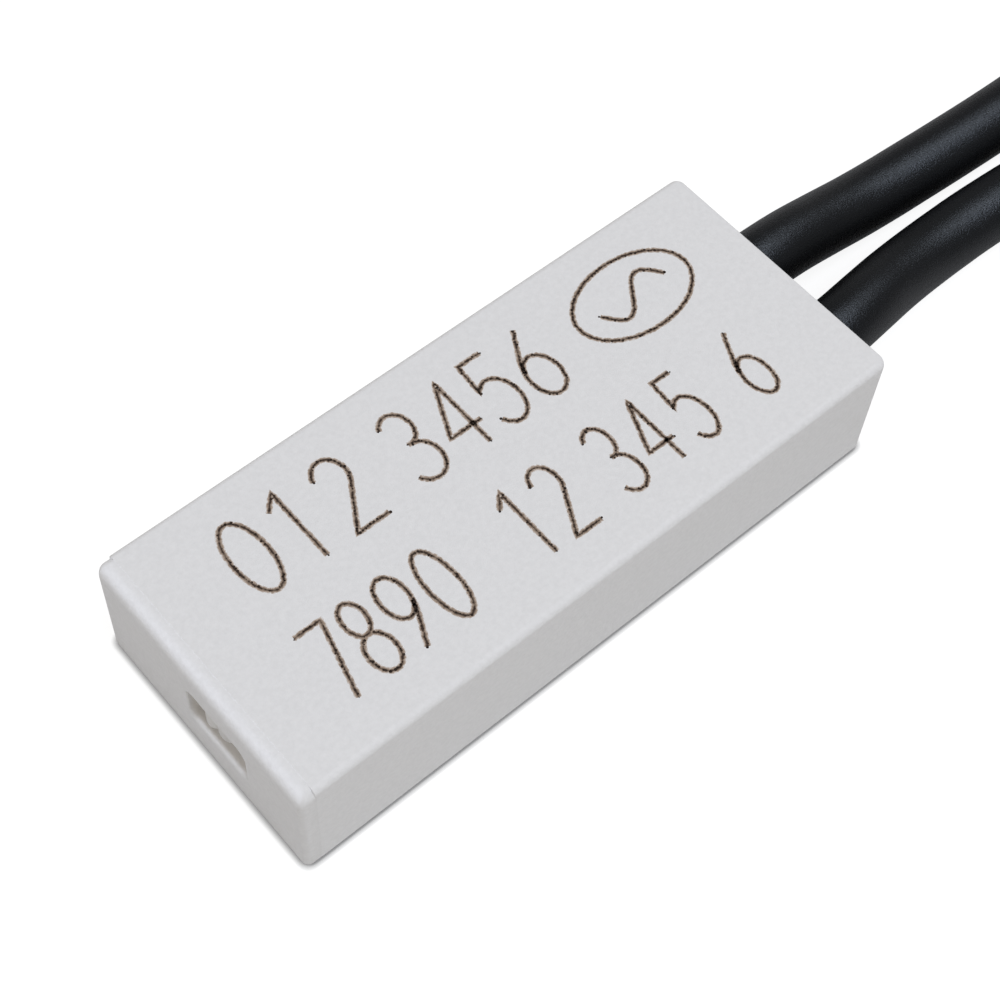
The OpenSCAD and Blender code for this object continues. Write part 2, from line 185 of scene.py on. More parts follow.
# The two leads: black extruded insulation, 1.85 mm thick, round stranded tinned conductors.
# They leave the potted end side by side, sink to the table, run on and turn back beyond the
# picture, 65 mm of insulation each and 5 mm stripped at the end.
lead_radius = 1.85 / 2
potting_face_x, exit_height, strip_x, over_table = 9.0, 1.9, 7.65, 0.01
rest_height = lead_radius + over_table
lead_routes = {
    "a": [
        (0, 1.35, 1), (1.2, 1.36, 0.95), (2.4, 1.42, 0.74), (3.8, 1.47, 0.38), (5.2, 1.46, 0.1),
        (6.6, 1.4, 0), (8.6, 1.29, 0), (10.7, 1.2, 0), (13.2, 1.16, 0), (15.6, 1.12, 0),
        (18, 0.98, 0), (21.2, 0.45, 0), (24.1, -0.8, 0), (26.7, -2.85, 0), (28.7, -5.45, 0),
        (29.9, -8.5, 0), (30.3, -11.75, 0), (29.9, -15, 0), (28.7, -18, 0), (26.7, -20.5, 0),
        (24.1, -22.5, 0), (21.2, -23.8, 0), (18, -24.8, 0), (15, -25.6, 0), (12.6, -26.1, 0),
        (10.4, -26.1, 0),
    ],
    "b": [
        (0, -1.6, 1), (1.2, -1.56, 0.98), (2.4, -1.4, 0.8), (3.8, -1.16, 0.42), (5.2, -1, 0.12),
        (6.6, -0.95, 0), (8.6, -1.02, 0), (10.7, -1.18, 0), (13.2, -1.36, 0), (15.6, -1.5, 0),
        (18, -1.7, 0), (21.5, -2.35, 0), (24.6, -4.1, 0), (26.7, -6.75, 0), (27.9, -10.1, 0),
        (27.9, -13.6, 0), (26.8, -16.9, 0), (24.6, -19.5, 0), (21.5, -21.4, 0), (18, -22.1, 0),
        (15, -22.35, 0), (12, -22.5, 0), (9, -22.7, 0), (6, -22.8, 0), (3.1, -22.8, 0),
    ],
}


def smooth_line(points, spacing):
    """Points on one smooth curve through the given ones, about spacing apart."""
    p = np.array(points, float)
    gaps = np.linalg.norm(np.diff(p, axis=0), axis=1)
    slopes = np.diff(p, axis=0) / gaps[:, None]
    tangents = np.vstack([
        slopes[:1],
        (slopes[:-1] * gaps[1:, None] + slopes[1:] * gaps[:-1, None]) / (gaps[:-1] + gaps[1:])[:, None],
        slopes[-1:],
    ])
    line = []
    for i, gap in enumerate(gaps):
        for t in np.linspace(0, 1, max(2, round(gap / spacing)), endpoint=False):
            line.append(
                (2 * t**3 - 3 * t**2 + 1) * p[i] + (t**3 - 2 * t**2 + t) * gap * tangents[i]
                + (3 * t**2 - 2 * t**3) * p[i + 1] + (t**3 - t**2) * gap * tangents[i + 1]
            )
    return np.array(line + [p[-1]])


def mesh_object(name, verts, faces, material):
    """A piece at the origin from points in millimetres."""
    mesh = bpy.data.meshes.new(name)
    mesh.from_pydata([tuple(c * MM for c in v) for v in verts], [], faces)
    mesh.polygons.foreach_set("use_smooth", [True] * len(mesh.polygons))
    mesh.materials.append(material)
    piece = bpy.data.objects.new(name, mesh)
    bpy.context.scene.collection.objects.link(piece)
    return piece


def tube(name, rings, material):
    """A closed round tube through rings of (centre, direction, radius)."""
    sides, verts, faces = 28, [], []
    side = Vector((0, 0, 1))
    for centre, direction, radius in rings:
        direction = Vector(direction).normalized()
        side = (side - direction * side.dot(direction)).normalized()
        other = direction.cross(side)
        for k in range(sides):
            a = math.tau * k / sides
            verts.append(Vector(centre) + (side * math.cos(a) + other * math.sin(a)) * radius)
    for i in range(len(rings) - 1):
        for k in range(sides):
            j = (k + 1) % sides
            faces.append((i * sides + k, i * sides + j, (i + 1) * sides + j, (i + 1) * sides + k))
    faces.append(tuple(reversed(range(sides))))
    faces.append(tuple(range((len(rings) - 1) * sides, len(rings) * sides)))
    return mesh_object(name, verts, faces, material)


# Fine grain that the case, the leads and the other mouldings share: a speckle for the bump and
# the gloss, and a cloudiness for the colour.
grain_group = bpy.data.node_groups.new("fine_grain", "ShaderNodeTree")
for socket in ("Speckle Scale", "Cloud Scale", "Cloud Contrast"):
    grain_group.interface.new_socket(socket, in_out="INPUT", socket_type="NodeSocketFloat")
for socket in ("Speckle", "Cloud"):
    grain_group.interface.new_socket(socket, in_out="OUTPUT", socket_type="NodeSocketFloat")
nodes, links = grain_group.nodes, grain_group.links
group_in, group_out = nodes.new("NodeGroupInput"), nodes.new("NodeGroupOutput")
where = nodes.new("ShaderNodeTexCoord")
speckle = nodes.new("ShaderNodeTexNoise")
speckle.inputs["Detail"].default_value = 3
speckle.inputs["Roughness"].default_value = 0.65
cloud = nodes.new("ShaderNodeTexNoise")
cloud.inputs["Detail"].default_value = 4
for texture in (speckle, cloud):
    links.new(where.outputs["Object"], texture.inputs["Vector"])
links.new(group_in.outputs["Speckle Scale"], speckle.inputs["Scale"])
links.new(group_in.outputs["Cloud Scale"], cloud.inputs["Scale"])
cloud_centred = math_node(nodes, "SUBTRACT")
cloud_centred.inputs[1].default_value = 0.5
links.new(cloud.outputs["Fac"], cloud_centred.inputs[0])
cloud_scaled = math_node(nodes, "MULTIPLY_ADD")
cloud_scaled.inputs[2].default_value = 0.5
links.new(cloud_centred.outputs[0], cloud_scaled.inputs[0])
links.new(group_in.outputs["Cloud Contrast"], cloud_scaled.inputs[1])
links.new(speckle.outputs["Fac"], group_out.inputs["Speckle"])
links.new(cloud_scaled.outputs[0], group_out.inputs["Cloud"])


def new_material(name):
    """A new material, its node tree and its Principled shader."""
    material = bpy.data.materials.new(name)
    material.use_nodes = True
    return material, material.node_tree, material.node_tree.nodes["Principled BSDF"]


def surface(tree, shader, colours, share, grain, gloss_range, bump):
    """Mixes two colours by share, and lets the grain vary the gloss and raise a fine relief."""
    colour = colour_mix(tree.nodes, *colours)
    tree.links.new(share, colour.inputs["Factor"])
    tree.links.new(colour.outputs["Result"], shader.inputs["Base Color"])
    gloss = tree.nodes.new("ShaderNodeMapRange")
    gloss.inputs["To Min"].default_value, gloss.inputs["To Max"].default_value = gloss_range
    tree.links.new(grain, gloss.inputs["Value"])
    tree.links.new(gloss.outputs["Result"], shader.inputs["Roughness"])
    relief = tree.nodes.new("ShaderNodeBump")
    relief.inputs["Distance"].default_value = bump * MM
    tree.links.new(grain, relief.inputs["Height"])
    tree.links.new(relief.outputs["Normal"], shader.inputs["Normal"])


def grained(name, dark, pale, roughness, bump, speckle_scale=9000, cloud_scale=350, contrast=1.2):
    """A moulded or extruded material: two close colours that drift, fine bump, uneven gloss."""
    gloss_drift = 0.06
    material, tree, shader = new_material(name)
    grain = tree.nodes.new("ShaderNodeGroup")
    grain.node_tree = grain_group
    grain.inputs["Speckle Scale"].default_value = speckle_scale
    grain.inputs["Cloud Scale"].default_value = cloud_scale
    grain.inputs["Cloud Contrast"].default_value = contrast
    gloss_range = (roughness - gloss_drift, roughness + gloss_drift)
    clouded, speckled = grain.outputs["Cloud"], grain.outputs["Speckle"]
    surface(tree, shader, (dark, pale), clouded, speckled, gloss_range, bump)
    return material


lead_black = grained(
    "lead_black", (0.0045, 0.0045, 0.0047), (0.0064, 0.0066, 0.0071), 0.28, 0.014,
    speckle_scale=21000, cloud_scale=500, contrast=1.5,
)
shader = lead_black.node_tree.nodes["Principled BSDF"]
shader.inputs["Specular IOR Level"].default_value = 0.62
shader.inputs["Specular Tint"].default_value = (0.84, 0.9, 1, 1)
ring_spacing = 0.4
insulation, lead_lines, lead_exits = {}, {}, {}
for side, route in lead_routes.items():
    points = [(strip_x, route[0][1], exit_height)] + [
        (potting_face_x + x, y, rest_height + share * (exit_height - rest_height)) for x, y, share in route
    ]
    line = smooth_line(points, ring_spacing)
    line[:, 2] = np.maximum(line[:, 2], rest_height)
    heading = np.gradient(line, axis=0)
    rings = [(p, d, lead_radius) for p, d in zip(line[:-1], heading[:-1])]
    end, along = line[-1], heading[-1] / np.linalg.norm(heading[-1])
    # The cut end: a small rounded lip, and the hole that the conductor leaves through.
    for back_by, radius in (
        (0.07, 1.0), (0.03, 0.985), (0.008, 0.955), (0, 0.915), (0, 0.5), (0.02, 0.45), (0.3, 0.44),
    ):
        rings.append((end - along * back_by, along, lead_radius * radius))
    piece = tube(f"insulation_{side}", rings, lead_black)
    insulation[side], lead_lines[side] = piece, line * MM
    lead_exits[side] = (potting_face_x * MM, route[0][1] * MM, exit_height * MM)
    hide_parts(f"lead_{side}")
    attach(piece, "housing")

# The stripped ends: seven tinned copper strands, laid round each other in one direction.
# The same bundle sits inside each crimp. A node tree lays the strands along their helix.
strand_tree = bpy.data.node_groups.new("twisted_strands", "GeometryNodeTree")
strand_inputs = {}
for socket, kind in (
    ("Length", "NodeSocketFloat"), ("Strand Radius", "NodeSocketFloat"), ("Turns", "NodeSocketFloat"),
    ("Outer Strands", "NodeSocketInt"), ("Material", "NodeSocketMaterial"),
):
    new_input = strand_tree.interface.new_socket(socket, in_out="INPUT", socket_type=kind)
    strand_inputs[socket] = new_input.identifier
strand_tree.interface.new_socket("Geometry", in_out="OUTPUT", socket_type="NodeSocketGeometry")
nodes, links = strand_tree.nodes, strand_tree.links
group_in, group_out = nodes.new("NodeGroupInput"), nodes.new("NodeGroupOutput")
lay_radius = math_node(nodes, "MULTIPLY")
lay_radius.inputs[1].default_value = 2
links.new(group_in.outputs["Strand Radius"], lay_radius.inputs[0])
helix = nodes.new("GeometryNodeCurveSpiral")
helix.inputs["Resolution"].default_value = 28
links.new(group_in.outputs["Turns"], helix.inputs["Rotations"])
links.new(lay_radius.outputs[0], helix.inputs["Start Radius"])
links.new(lay_radius.outputs[0], helix.inputs["End Radius"])
links.new(group_in.outputs["Length"], helix.inputs["Height"])
seats = nodes.new("GeometryNodePoints")
links.new(group_in.outputs["Outer Strands"], seats.inputs["Count"])
step_angle = math_node(nodes, "DIVIDE")
step_angle.inputs[0].default_value = math.tau
links.new(group_in.outputs["Outer Strands"], step_angle.inputs[1])
turn = math_node(nodes, "MULTIPLY")
links.new(nodes.new("GeometryNodeInputIndex").outputs[0], turn.inputs[0])
links.new(step_angle.outputs[0], turn.inputs[1])
turned_by = nodes.new("ShaderNodeCombineXYZ")
links.new(turn.outputs[0], turned_by.inputs["Z"])
laid = nodes.new("GeometryNodeInstanceOnPoints")
links.new(seats.outputs[0], laid.inputs["Points"])
links.new(helix.outputs[0], laid.inputs["Instance"])
links.new(turned_by.outputs[0], laid.inputs["Rotation"])
outer = nodes.new("GeometryNodeRealizeInstances")
links.new(laid.outputs[0], outer.inputs[0])
middle_end = nodes.new("ShaderNodeCombineXYZ")
links.new(group_in.outputs["Length"], middle_end.inputs["Z"])
middle_strand = nodes.new("GeometryNodeCurvePrimitiveLine")
links.new(middle_end.outputs[0], middle_strand.inputs["End"])
strands = nodes.new("GeometryNodeJoinGeometry")
links.new(outer.outputs[0], strands.inputs[0])
links.new(middle_strand.outputs[0], strands.inputs[0])
section = nodes.new("GeometryNodeCurvePrimitiveCircle")
section.inputs["Resolution"].default_value = 12
links.new(group_in.outputs["Strand Radius"], section.inputs["Radius"])
drawn = nodes.new("GeometryNodeCurveToMesh")
drawn.inputs["Fill Caps"].default_value = True
links.new(strands.outputs[0], drawn.inputs["Curve"])
links.new(section.outputs[0], drawn.inputs["Profile Curve"])
plain = nodes.new("GeometryNodeRealizeInstances")
links.new(drawn.outputs[0], plain.inputs[0])
tinned = nodes.new("GeometryNodeSetMaterial")
links.new(plain.outputs[0], tinned.inputs["Geometry"])
links.new(group_in.outputs["Material"], tinned.inputs["Material"])
links.new(tinned.outputs[0], group_out.inputs[0])

# Metal that was drawn, rolled or stamped: streaks along one direction and a few dull spots.
metal_group = bpy.data.node_groups.new("drawn_metal", "ShaderNodeTree")
for socket, kind in (("Streak Scale", "NodeSocketFloat"), ("Stretch", "NodeSocketVector")):
    metal_group.interface.new_socket(socket, in_out="INPUT", socket_type=kind)
for socket in ("Streak", "Tarnish"):
    metal_group.interface.new_socket(socket, in_out="OUTPUT", socket_type="NodeSocketFloat")
nodes, links = metal_group.nodes, metal_group.links
group_in, group_out = nodes.new("NodeGroupInput"), nodes.new("NodeGroupOutput")
where = nodes.new("ShaderNodeTexCoord")
stretched = nodes.new("ShaderNodeVectorMath")
stretched.operation = "MULTIPLY"
links.new(where.outputs["Object"], stretched.inputs[0])
links.new(group_in.outputs["Stretch"], stretched.inputs[1])
streak = nodes.new("ShaderNodeTexNoise")
streak.inputs["Detail"].default_value = 5
links.new(stretched.outputs[0], streak.inputs["Vector"])
links.new(group_in.outputs["Streak Scale"], streak.inputs["Scale"])
tarnish = nodes.new("ShaderNodeTexNoise")
tarnish.inputs["Scale"].default_value = 900
tarnish.inputs["Detail"].default_value = 4
links.new(where.outputs["Object"], tarnish.inputs["Vector"])
tarnish_mask = nodes.new("ShaderNodeMapRange")
tarnish_mask.inputs["From Min"].default_value = 0.45
tarnish_mask.inputs["From Max"].default_value = 0.75
links.new(tarnish.outputs["Fac"], tarnish_mask.inputs["Value"])
links.new(streak.outputs["Fac"], group_out.inputs["Streak"])
links.new(tarnish_mask.outputs[0], group_out.inputs["Tarnish"])


def bare_metal(name, bright, dull, roughness, scale=4000, stretch=(0.05, 1, 1)):
    """A bare metal: bright where it is clean, duller in its tarnish, with streaks in the gloss."""
    glossier, duller, bump = 0.08, 0.12, 0.004
    material, tree, shader = new_material(name)
    metal = tree.nodes.new("ShaderNodeGroup")
    metal.node_tree = metal_group
    metal.inputs["Streak Scale"].default_value = scale
    metal.inputs["Stretch"].default_value = stretch
    gloss_range = (roughness - glossier, roughness + duller)
    tarnished, streaked = metal.outputs["Tarnish"], metal.outputs["Streak"]
    surface(tree, shader, (bright, dull), tarnished, streaked, gloss_range, bump)
    shader.inputs["Metallic"].default_value = 1
    return material


tinned_copper = bare_metal(
    "tinned_copper", (0.78, 0.77, 0.74), (0.55, 0.5, 0.43), 0.3, scale=6000, stretch=(1, 1, 1),
)
strand_radius, strand_lay, outer_strands = 0.13, 9, 6
stripped_length, crimp_start_x, crimp_length = 5.0, 5.72, 1.93


def settle(piece):
    """Makes the piece's modifiers its plain mesh and takes them off."""
    evaluated = piece.evaluated_get(bpy.context.evaluated_depsgraph_get())
    settled = bpy.data.meshes.new_from_object(evaluated)
    piece.modifiers.clear()
    piece.data = settled


def strand_bundle(name, start, toward_minus_x, length, node):
    """Seven strands from start along X that stand for a CAD node."""
    piece = mesh_object(name, [(0, 0, 0)], [], tinned_copper)
    modifier = piece.modifiers.new("strands", "NODES")
    modifier.node_group = strand_tree
    for socket, value in (
        ("Length", length * MM), ("Strand Radius", strand_radius * MM), ("Turns", length / strand_lay),
        ("Outer Strands", outer_strands), ("Material", tinned_copper),
    ):
        modifier[strand_inputs[socket]] = value
    settle(piece)
    facing = Matrix.Rotation(math.radians(-90 if toward_minus_x else 90), 4, "Y")
    piece.data.transform(Matrix.Translation(Vector(start) * MM) @ facing)
    piece.data.polygons.foreach_set("use_smooth", [True] * len(piece.data.polygons))
    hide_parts(node)
    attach(piece, "housing")
    return piece


for side in "ab":
    end = lead_lines[side][-1] / MM
    stripped = strand_bundle(f"strands_{side}", end, True, stripped_length, f"lead_{side}_bare_end")
    in_crimp = (crimp_start_x, lead_routes[side][0][1], exit_height)
    strand_bundle(f"conductor_{side}", in_crimp, False, crimp_length, f"lead_{side}_core")

# The case: one moulding in white filled plastic, a flat block that is closed at one end. The
# mould's end insert formed the closed end with its rounded rim, a hair smaller than the block,
# so a small notch shows at both corners. A slot in that end lets a gauge and the air through.
case_end, case_side, case_top = 9.2, 3.85, 3.795
rim_radius, rim_top, insert_x = 0.5, 3.792, -8.785
case_white = grained(
    "case_white", (0.75, 0.75, 0.754), (0.795, 0.795, 0.799), 0.66, 0.01, cloud_scale=8000, contrast=2.6,
)
slot_low, slot_high, slot_left, slot_right, slot_corner = 1.27, 2.62, -1.7, 0.5, 0.3
# Inside the slot the plastic's colour is darkened with painted shade, the more the deeper it lies behind
# the end face.
shade_start_x, shade_full_x, shade_margin = -9.2, -9.03, 0.22
tree, shader = case_white.node_tree, case_white.node_tree.nodes["Principled BSDF"]
clean = shader.inputs["Base Color"].links[0].from_socket
place = tree.nodes.new("ShaderNodeTexCoord")
at = tree.nodes.new("ShaderNodeSeparateXYZ")
tree.links.new(place.outputs["Object"], at.inputs[0])
depth = tree.nodes.new("ShaderNodeMapRange")
depth.interpolation_type = "SMOOTHSTEP"
depth.inputs["From Min"].default_value = shade_start_x * MM
depth.inputs["From Max"].default_value = shade_full_x * MM
tree.links.new(at.outputs["X"], depth.inputs["Value"])
shade_share = depth.outputs["Result"]
for axis, low, high in (("Y", slot_left, slot_right), ("Z", slot_low, slot_high)):
    within = math_node(tree.nodes, "COMPARE")
    within.inputs[1].default_value = (low + high) / 2 * MM
    within.inputs[2].default_value = ((high - low) / 2 + shade_margin) * MM
    tree.links.new(at.outputs[axis], within.inputs[0])
    both = math_node(tree.nodes, "MULTIPLY")
    tree.links.new(shade_share, both.inputs[0])
    tree.links.new(within.outputs[0], both.inputs[1])
    shade_share = both.outputs[0]
# The painted shade: a pale brownish grey mixed over the plastic's own colour in the slot.
slot_shade = tree.nodes.new("ShaderNodeMix")
slot_shade.data_type = "RGBA"
slot_shade.inputs["B"].default_value = (0.72, 0.69, 0.645, 1)
tree.links.new(shade_share, slot_shade.inputs["Factor"])
tree.links.new(clean, slot_shade.inputs["A"])
tree.links.new(slot_shade.outputs["Result"], shader.inputs["Base Color"])


def rounded_ring(x0, x1, y0, y1, r0, r1):
    """Corner points of a rectangle with rounded corners, r0 at its x0 end and r1 at its x1 end."""
    corner_steps, ring = 8, []
    for cx, cy, r, start in (
        (x1 - r1, y1 - r1, r1, 0), (x0 + r0, y1 - r0, r0, 90),
        (x0 + r0, y0 + r0, r0, 180), (x1 - r1, y0 + r1, r1, 270),
    ):
        for k in range(corner_steps + 1):
            a = math.radians(start + 90 * k / corner_steps)
            ring.append((cx + r * math.cos(a), cy + r * math.sin(a)))
    return ring


def loft(name, rings, material):
    """A closed skin over rings of the same number of points."""
    count = len(rings[0])
    faces = [tuple(range(count)), tuple(range((len(rings) - 1) * count, len(rings) * count))]
    for i in range(len(rings) - 1):
        for k in range(count):
            j = (k + 1) % count
            faces.append((i * count + k, i * count + j, (i + 1) * count + j, (i + 1) * count + k))
    piece = mesh_object(name, [p for ring in rings for p in ring], faces, material)
    form = bmesh.new()
    form.from_mesh(piece.data)
    bmesh.ops.remove_doubles(form, verts=form.verts, dist=1e-8)
    bmesh.ops.recalc_face_normals(form, faces=form.faces)
    form.to_mesh(piece.data)
    form.free()
    return piece


crisp_degrees = 34


def crisp_above(piece, degrees=crisp_degrees):
    """Shades the piece smooth, with a crisp line where two faces meet at more than this."""
    form = bmesh.new()
    form.from_mesh(piece.data)
    for face in form.faces:
        face.smooth = True
    for edge in form.edges:
        edge.smooth = edge.calc_face_angle(0) < math.radians(degrees)
    form.to_mesh(piece.data)
    form.free()
    return piece


def combine(piece, other, operation):
    """Joins the other shape to the piece or cuts it out, at a larger scale, and deletes it."""
    for shape in (piece, other):
        shape.data.transform(Matrix.Scale(1 / MM, 4))
    modifier = piece.modifiers.new("combine", "BOOLEAN")
    modifier.operation, modifier.solver, modifier.object = operation, "EXACT", other
    settle(piece)
    piece.data.transform(Matrix.Scale(MM, 4))
    bpy.data.objects.remove(other)


def rounding(radius, depth):
    """How far a rounded edge of this radius stands back at this depth below its flat face."""
    return radius - math.sqrt(radius**2 - (radius - depth)**2) if depth < radius else 0.0


def block(name, x0, x1, side, low, top, upright, edges):
    """A block with rounded upright corners; edges are its lower, long upper, x0 and x1 upper ones."""
    plain_levels, least_corner, corner_loss = [1.0, 2.2, 3.1], 0.02, 0.4
    angles = [math.radians(a) for a in range(0, 91, 9)]
    heights = [low + edges[0] * (1 - math.cos(a)) for a in angles[::2] + angles[-1:]] + plain_levels
    heights += [top - radius * (1 - math.sin(a)) for radius in set(edges[1:]) for a in angles]
    rings = []
    for z in sorted({round(z, 4) for z in heights}):
        foot = rounding(edges[0], z - low)
        long_side, at_x0, at_x1 = (max(foot, rounding(radius, top - z)) for radius in edges[1:])
        ring = rounded_ring(
            x0 + at_x0, x1 - at_x1, -side + long_side, side - long_side,
            max(least_corner, upright[0] - corner_loss * at_x0),
            max(least_corner, upright[1] - corner_loss * at_x1),
        )
        rings.append([(x, y, z) for x, y in ring])
    return loft(name, rings, case_white)


moulded_case = block(
    "moulded_case", insert_x, case_end, case_side, 0, case_top, (0.03, 0.22), (0.1, 0.2, 0.02, 0.08),
)
insert_gap, insert_overlap = 0.004, 1.2
closed_end = block(
    "closed_end", -case_end, insert_x + insert_overlap, case_side - insert_gap, insert_gap, rim_top,
    (0.18, 0.02), (0.1, 0.34, rim_radius, rim_radius),
)
combine(moulded_case, closed_end, "UNION")
# The cavity, from the mouth at the lead end in, with a small lead-in round the mouth.
cavity_half_width, cavity_low, cavity_high, cavity_back = 3.3, 0.55, 3.25, -8.5
cavity_corner, mouth, past_face = 0.12, 0.07, 0.4
mouth_places = [case_end - mouth * math.cos(math.radians(a)) for a in (0, 30, 60, 80, 90)]
cavity = []
for x in [cavity_back] + mouth_places + [case_end + past_face]:
    flare = rounding(mouth, max(0.0, case_end - x))
    half, low, high = cavity_half_width + flare, cavity_low - flare, cavity_high + flare
    ring = rounded_ring(-half, half, low, high, cavity_corner, cavity_corner)
    cavity.append([(x, y, z) for y, z in ring])
combine(moulded_case, loft("cavity_cutter", cavity, case_white), "DIFFERENCE")
# The slot: its upper edge is crisp, its sides are a little soft and its lower lip is rounded.
lip, side_edge, upper_edge, cut_depth = 0.17, 0.06, 0.03, 0.9
lip_depths = [lip * (1 - math.cos(math.radians(a))) for a in range(10, 91, 10)]
slot = []
for depth in [-past_face, 0] + lip_depths + [cut_depth]:
    low, side, high = (rounding(radius, max(0.0, depth)) for radius in (lip, side_edge, upper_edge))
    ring = rounded_ring(
        slot_left - side, slot_right + side, slot_low - low, slot_high + high,
        slot_corner + side, slot_corner + side,
    )
    slot.append([(-case_end + depth, y, z) for y, z in ring])
combine(moulded_case, loft("slot_cutter", slot, case_white), "DIFFERENCE")
crisp_above(moulded_case)
even_shading = moulded_case.modifiers.new("even_shading", "WEIGHTED_NORMAL")
even_shading.keep_sharp = True
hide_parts("case")
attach(moulded_case, "housing")

# The marks on the top face: a laser has burnt them into the plastic dot by dot. They are plain
# figures and a wave in a ring. A scorched band lies under a chain of dark beads that a node
# tree sets along every stroke.


def arc(cx, cy, rx, ry, start, end):
    """Points on part of an ellipse."""
    steps = max(4, round(abs(end - start) / 10))
    angles = [math.radians(start + (end - start) * k / steps) for k in range(steps + 1)]
    return [(cx + rx * math.cos(a), cy + ry * math.sin(a)) for a in angles]


figures = {
    "0": [arc(0.5, 1, 0.5, 1, 90, 450)],
    "1": [[(0.15, 1.62), (0.55, 2), (0.55, 0)]],
    "2": [arc(0.5, 1.5, 0.45, 0.5, 165, -35) + [(0.02, 0), (1, 0)]],
    "3": [arc(0.48, 1.52, 0.42, 0.48, 150, -80), arc(0.48, 0.54, 0.5, 0.54, 95, -150)],
    "4": [[(0.74, 0), (0.74, 2), (0, 0.6), (1, 0.6)]],
    "5": [[(0.92, 2), (0.2, 2), (0.12, 1.12)] + arc(0.46, 0.66, 0.5, 0.66, 125, -145)],
    "6": [[(0.76, 2), (0.2, 1.15)] + arc(0.5, 0.6, 0.46, 0.6, 150, 510)],
    "7": [[(0.02, 2), (0.98, 2), (0.3, 0)]],
    "8": [arc(0.5, 1.53, 0.38, 0.47, 90, 450), arc(0.5, 0.53, 0.47, 0.53, 90, 450)],
    "9": [[(0.26, 0), (0.8, 0.85)] + arc(0.5, 1.4, 0.46, 0.6, -30, 330)],
}
sign_x, sign_y = 5.65, 1.7
strokes = [
    arc(sign_x, sign_y, 1.78, 1.14, 0, 360),
    [(sign_x + 1.1 * t, sign_y + 0.5 * math.sin(math.pi * t)) for t in (k / 12 - 1 for k in range(25))],
]
for places, row, width, height, low in (
    ((-6.8, -5.45, -4.05, -2.0, -0.68, 0.6, 1.85), "0123456", 0.95, 1.07, 0.63),
    ((-6.87, -5.9, -4.86, -3.75, -1.2, -0.15, 1.6, 2.75, 4.0, 6.0), "7890123456", 0.78, 1.03, -2.66),
):
    for place, figure in zip(places, row):
        for points in figures[figure]:
            strokes.append([(place + width * x, low + height * y) for x, y in points])


def colour_ramp(nodes, *stops):
    """A ramp between two stops of (position, colour)."""
    ramp = nodes.new("ShaderNodeValToRGB")
    for element, (position, colour) in zip(ramp.color_ramp.elements, stops):
        element.position, element.color = position, (*colour, 1)
    return ramp


laser_brown, tree, shader = new_material("laser_brown")
dots = tree.nodes.new("ShaderNodeTexNoise")
dots.inputs["Scale"].default_value = 9000
dots.inputs["Detail"].default_value = 2
spot_of = tree.nodes.new("ShaderNodeTexCoord")
tree.links.new(spot_of.outputs["Object"], dots.inputs["Vector"])
burnt = colour_ramp(tree.nodes, (0.35, (0.018, 0.012, 0.009)), (0.7, (0.055, 0.037, 0.028)))
tree.links.new(dots.outputs["Fac"], burnt.inputs["Fac"])
tree.links.new(burnt.outputs["Color"], shader.inputs["Base Color"])
shader.inputs["Roughness"].default_value = 0.85
shader.inputs["Specular IOR Level"].default_value = 0.05

bead_tree = bpy.data.node_groups.new("burnt_beads", "GeometryNodeTree")
bead_inputs = {}
for socket, kind in (
    ("Geometry", "NodeSocketGeometry"), ("Pitch", "NodeSocketFloat"), ("Bead Radius", "NodeSocketFloat"),
    ("Bead Height", "NodeSocketFloat"), ("Scatter", "NodeSocketFloat"), ("Seed", "NodeSocketInt"),
    ("Material", "NodeSocketMaterial"),
):
    new_input = bead_tree.interface.new_socket(socket, in_out="INPUT", socket_type=kind)
    bead_inputs[socket] = new_input.identifier
bead_tree.interface.new_socket("Geometry", in_out="OUTPUT", socket_type="NodeSocketGeometry")
nodes, links = bead_tree.nodes, bead_tree.links
group_in, group_out = nodes.new("NodeGroupInput"), nodes.new("NodeGroupOutput")
as_curves = nodes.new("GeometryNodeMeshToCurve")
links.new(group_in.outputs["Geometry"], as_curves.inputs[0])
spaced = nodes.new("GeometryNodeResampleCurve")
spaced.mode = "LENGTH"
links.new(as_curves.outputs[0], spaced.inputs["Curve"])
links.new(group_in.outputs["Pitch"], spaced.inputs["Length"])
reach = nodes.new("ShaderNodeCombineXYZ")
links.new(group_in.outputs["Scatter"], reach.inputs["X"])
links.new(group_in.outputs["Scatter"], reach.inputs["Y"])
back = nodes.new("ShaderNodeVectorMath")
back.operation = "SCALE"
back.inputs["Scale"].default_value = -1
links.new(reach.outputs[0], back.inputs[0])
shift = nodes.new("FunctionNodeRandomValue")
shift.data_type = "FLOAT_VECTOR"
links.new(back.outputs[0], shift.inputs["Min"])
links.new(reach.outputs[0], shift.inputs["Max"])
links.new(group_in.outputs["Seed"], shift.inputs["Seed"])
scattered = nodes.new("GeometryNodeSetPosition")
links.new(spaced.outputs[0], scattered.inputs["Geometry"])
links.new(shift.outputs["Value"], scattered.inputs["Offset"])
bead = nodes.new("GeometryNodeMeshUVSphere")
bead.inputs["Segments"].default_value = 9
bead.inputs["Rings"].default_value = 4
bead.inputs["Radius"].default_value = 1
bead_size = nodes.new("ShaderNodeCombineXYZ")
for axis, socket in (("X", "Bead Radius"), ("Y", "Bead Radius"), ("Z", "Bead Height")):
    links.new(group_in.outputs[socket], bead_size.inputs[axis])
uneven = nodes.new("FunctionNodeRandomValue")
uneven.data_type = "FLOAT"
uneven.inputs["Min"].default_value = 0.5
uneven.inputs["Max"].default_value = 1.3
links.new(group_in.outputs["Seed"], uneven.inputs["Seed"])
bead_scale = nodes.new("ShaderNodeVectorMath")
bead_scale.operation = "SCALE"
links.new(bead_size.outputs[0], bead_scale.inputs[0])
links.new(uneven.outputs[1], bead_scale.inputs["Scale"])
set_beads = nodes.new("GeometryNodeInstanceOnPoints")
links.new(scattered.outputs[0], set_beads.inputs["Points"])
links.new(bead.outputs["Mesh"], set_beads.inputs["Instance"])
